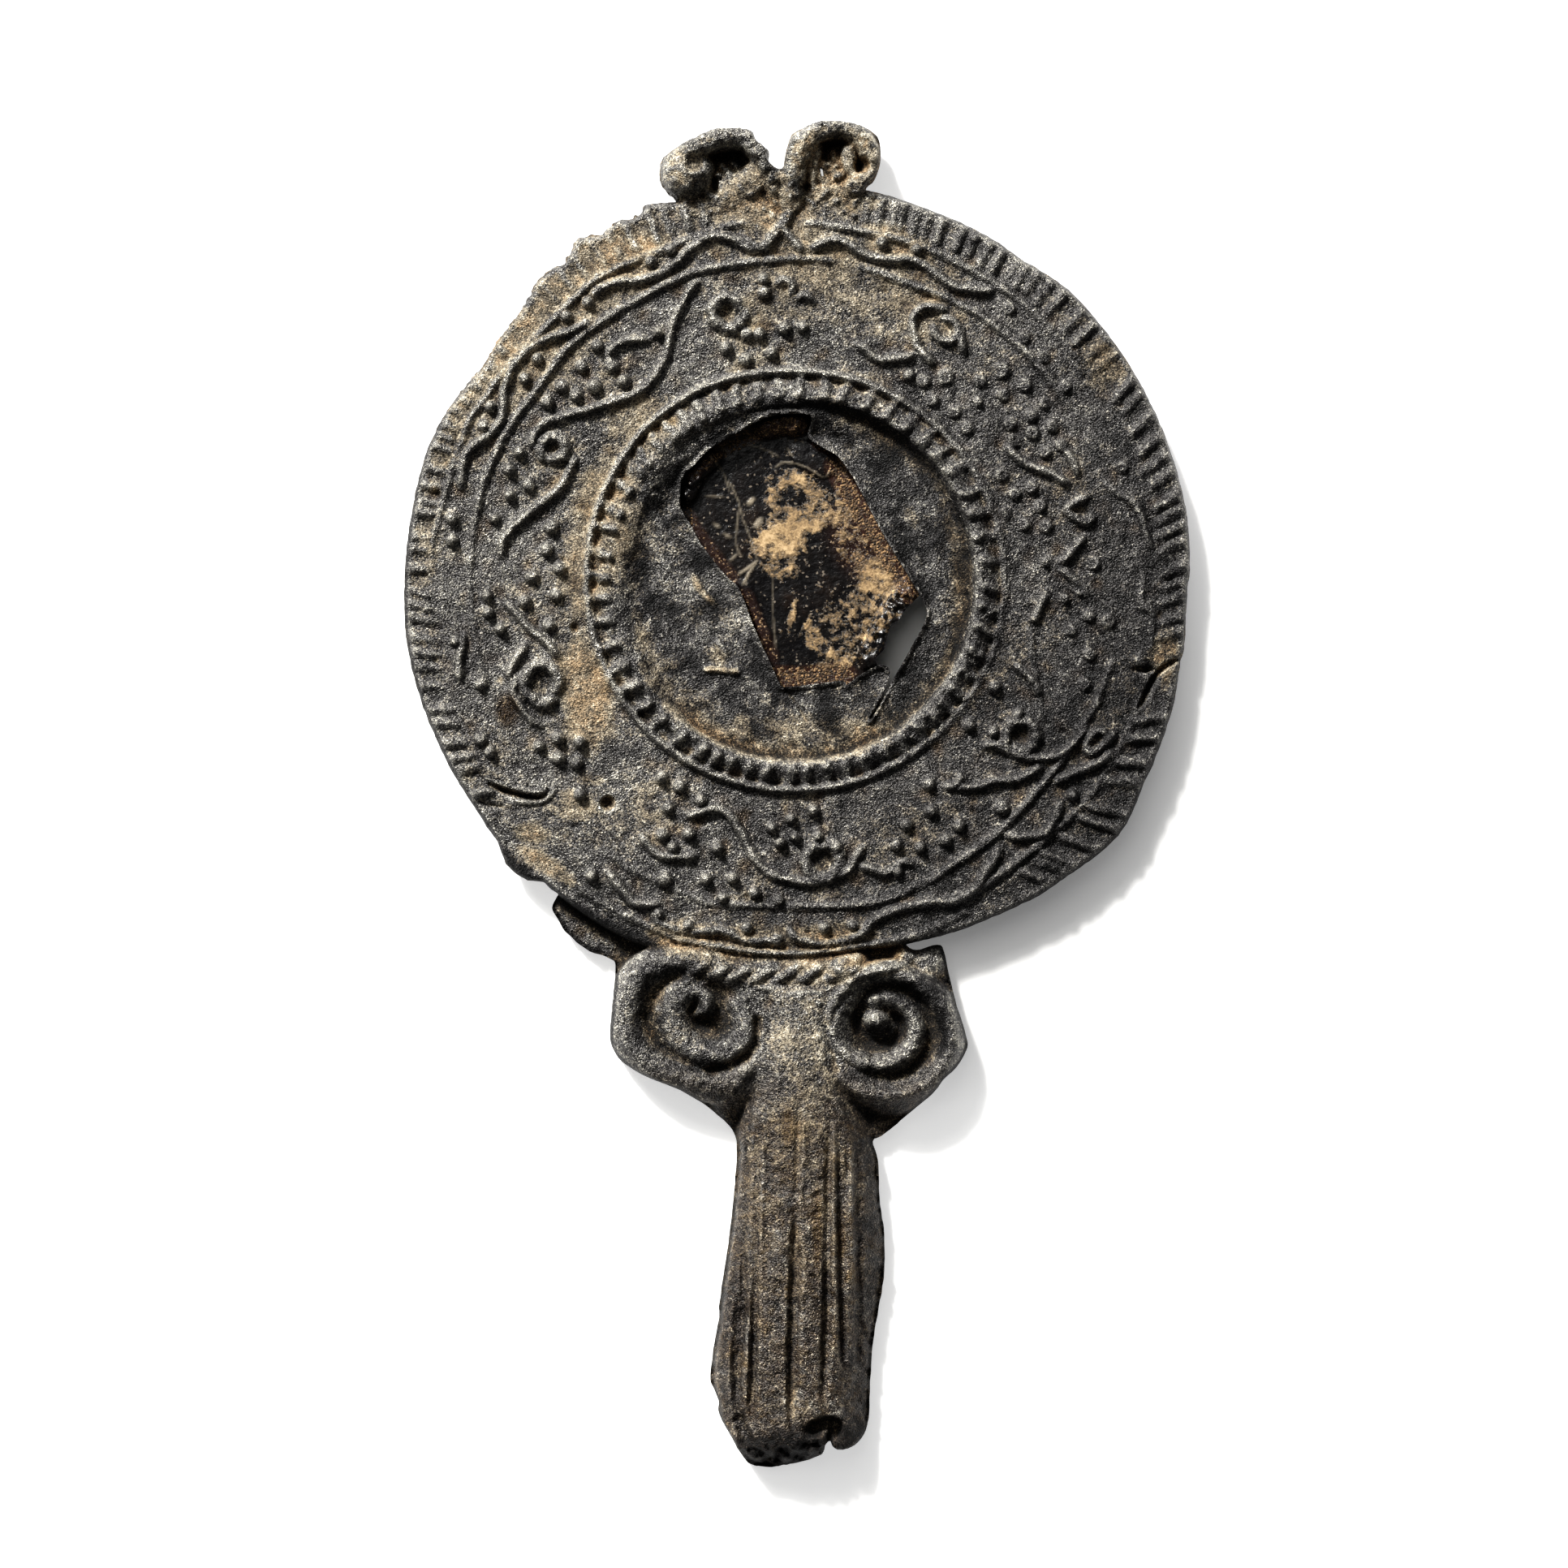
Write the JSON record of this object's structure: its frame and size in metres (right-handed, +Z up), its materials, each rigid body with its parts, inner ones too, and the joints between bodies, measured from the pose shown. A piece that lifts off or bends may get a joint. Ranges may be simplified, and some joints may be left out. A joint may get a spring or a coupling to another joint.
{
  "type": "lead votive mirror",
  "caption": "Small cast lead votive mirror with vine relief, fluted handle with volutes and two curled scrolls, its domed glass broken behind a torn field.",
  "frame": {"origin": "middle of the bounding box, on the surface that the mirror lies on", "axes": "+Z up out of the relief face, +Y along the mirror from the handle towards the two scrolls, +X to the right as seen from above"},
  "size_m": [0.0701, 0.12, 0.0049],
  "materials": {
    "lead": "cast lead with dark corrosion and earthy deposits",
    "glass": "dark, scratched, with tan deposits"
  },
  "bodies": {
    "root": {"lead_casting": "lead", "mirror_glass": "glass"}
  },
  "joints": []
}
